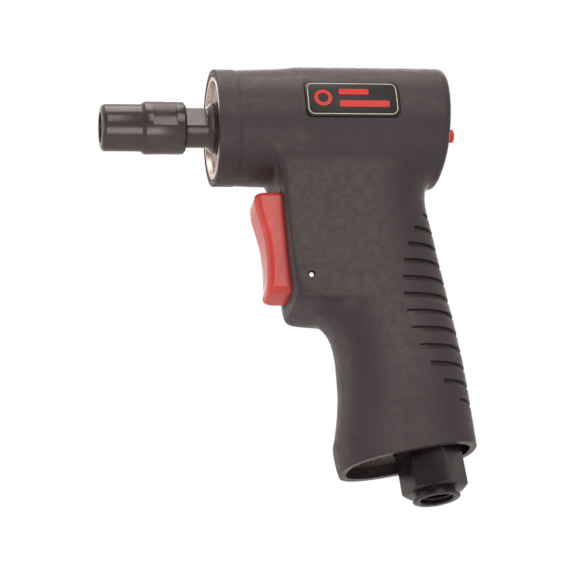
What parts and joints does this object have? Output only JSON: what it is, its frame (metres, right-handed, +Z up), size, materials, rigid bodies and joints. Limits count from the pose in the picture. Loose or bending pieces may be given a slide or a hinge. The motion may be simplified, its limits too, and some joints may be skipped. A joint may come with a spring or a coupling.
{
  "type": "pistol grip die grinder",
  "caption": "Pistol-grip air die grinder with a collet nose, two-finger red trigger, grooved composite grip, bottom air inlet and open exhaust.",
  "frame": {"origin": "on the spindle's axis, at the flat bottom of the bore that a 6 mm shank stops against, level with the housing's front rim", "axes": "-X out of the nose along the spindle, +Z up from the grip towards the motor tube, Y across"},
  "size_m": [0.1288, 0.0446, 0.1635],
  "materials": {
    "composite": "fine matte texture",
    "label_black": "satin printed plate",
    "plate_steel": "matte",
    "bright_steel": "machined",
    "black_oxide": "satin black oxide",
    "red_plastic": "glossy",
    "button_red": "glossy",
    "cast_alloy": "as machined",
    "brass": "steel balls in a brass cage",
    "rubber": "matte",
    "vane_fibre": "fibre laminate",
    "felt": "felt"
  },
  "bodies": {
    "housing_group": {"housing": "composite", "label_plate": "label_black", "front_lock_ring": "plate_steel", "motor_sleeve": "bright_steel", "inlet_bushing": "black_oxide", "motor_cylinder": "cast_alloy", "front_end_plate": "cast_alloy", "rear_end_plate": "cast_alloy", "rear_cap": "cast_alloy", "valve_body": "cast_alloy", "air_tube": "cast_alloy", "feed_tube": "cast_alloy", "valve_plug": "brass", "inlet_seal": "rubber", "muffler_felt": "felt", "exhaust_grille": "composite", "locating_pin": "bright_steel", "wave_washer": "bright_steel", "button_spring": "bright_steel", "valve_spring": "bright_steel", "trigger_pin": "bright_steel", "inlet_screen": "bright_steel", "front_bearing_outer": "bright_steel", "rear_bearing_outer": "bright_steel"},
    "spindle_group": {"spindle": "black_oxide", "rotor": "bright_steel", "vane_1": "vane_fibre", "vane_2": "vane_fibre", "vane_3": "vane_fibre", "vane_4": "vane_fibre", "vane_5": "vane_fibre", "front_bearing_inner": "bright_steel", "rear_bearing_inner": "bright_steel"},
    "front_balls": {"front_bearing_balls": "brass"},
    "rear_balls": {"rear_bearing_balls": "brass"},
    "collet_group": {"collet": "bright_steel"},
    "nut_group": {"collet_nut": "black_oxide"},
    "trigger_group": {"trigger": "red_plastic"},
    "stem_group": {"throttle_stem": "bright_steel", "stem_seal": "rubber"},
    "button_group": {"rear_button": "button_red"}
  },
  "joints": [
    {"name": "spindle_spin", "type": "hinge", "parent": "housing_group", "child": "spindle_group", "pos_m": [0, 0, 0], "axis": [1, 0, 0], "continuous": true},
    {"name": "front_cage_spin", "type": "hinge", "parent": "housing_group", "child": "front_balls", "pos_m": [0, 0, 0], "axis": [1, 0, 0], "continuous": true},
    {"name": "rear_cage_spin", "type": "hinge", "parent": "housing_group", "child": "rear_balls", "pos_m": [0, 0, 0], "axis": [1, 0, 0], "continuous": true},
    {"name": "collet_slide", "type": "slide", "parent": "spindle_group", "child": "collet_group", "axis": [-1, 0, 0], "range_m": [0, 0.002]},
    {"name": "nut_turn", "type": "hinge", "parent": "collet_group", "child": "nut_group", "pos_m": [0, 0, 0], "axis": [-1, 0, 0], "range_deg": [0, 720]},
    {"name": "trigger_slide", "type": "slide", "parent": "housing_group", "child": "trigger_group", "axis": [1, 0, 0], "range_m": [0, 0.0045], "stiffness_N_per_m": 600, "springref_m": -0.004},
    {"name": "stem_slide", "type": "slide", "parent": "housing_group", "child": "stem_group", "axis": [1, 0, 0], "range_m": [0, 0.0045], "deforming": ["valve_spring"]},
    {"name": "button_slide", "type": "slide", "parent": "housing_group", "child": "button_group", "axis": [-1, 0, 0], "range_m": [0, 0.002], "stiffness_N_per_m": 1500, "springref_m": -0.002, "deforming": ["button_spring"]}
  ],
  "couplings": [
    {"joint": "front_cage_spin", "follows": "spindle_spin", "ratio": 0.402},
    {"joint": "rear_cage_spin", "follows": "spindle_spin", "ratio": 0.388},
    {"joint": "collet_slide", "follows": "nut_turn", "m_per_rad": 0.00015915},
    {"joint": "stem_slide", "follows": "trigger_slide", "ratio": 1}
  ]
}
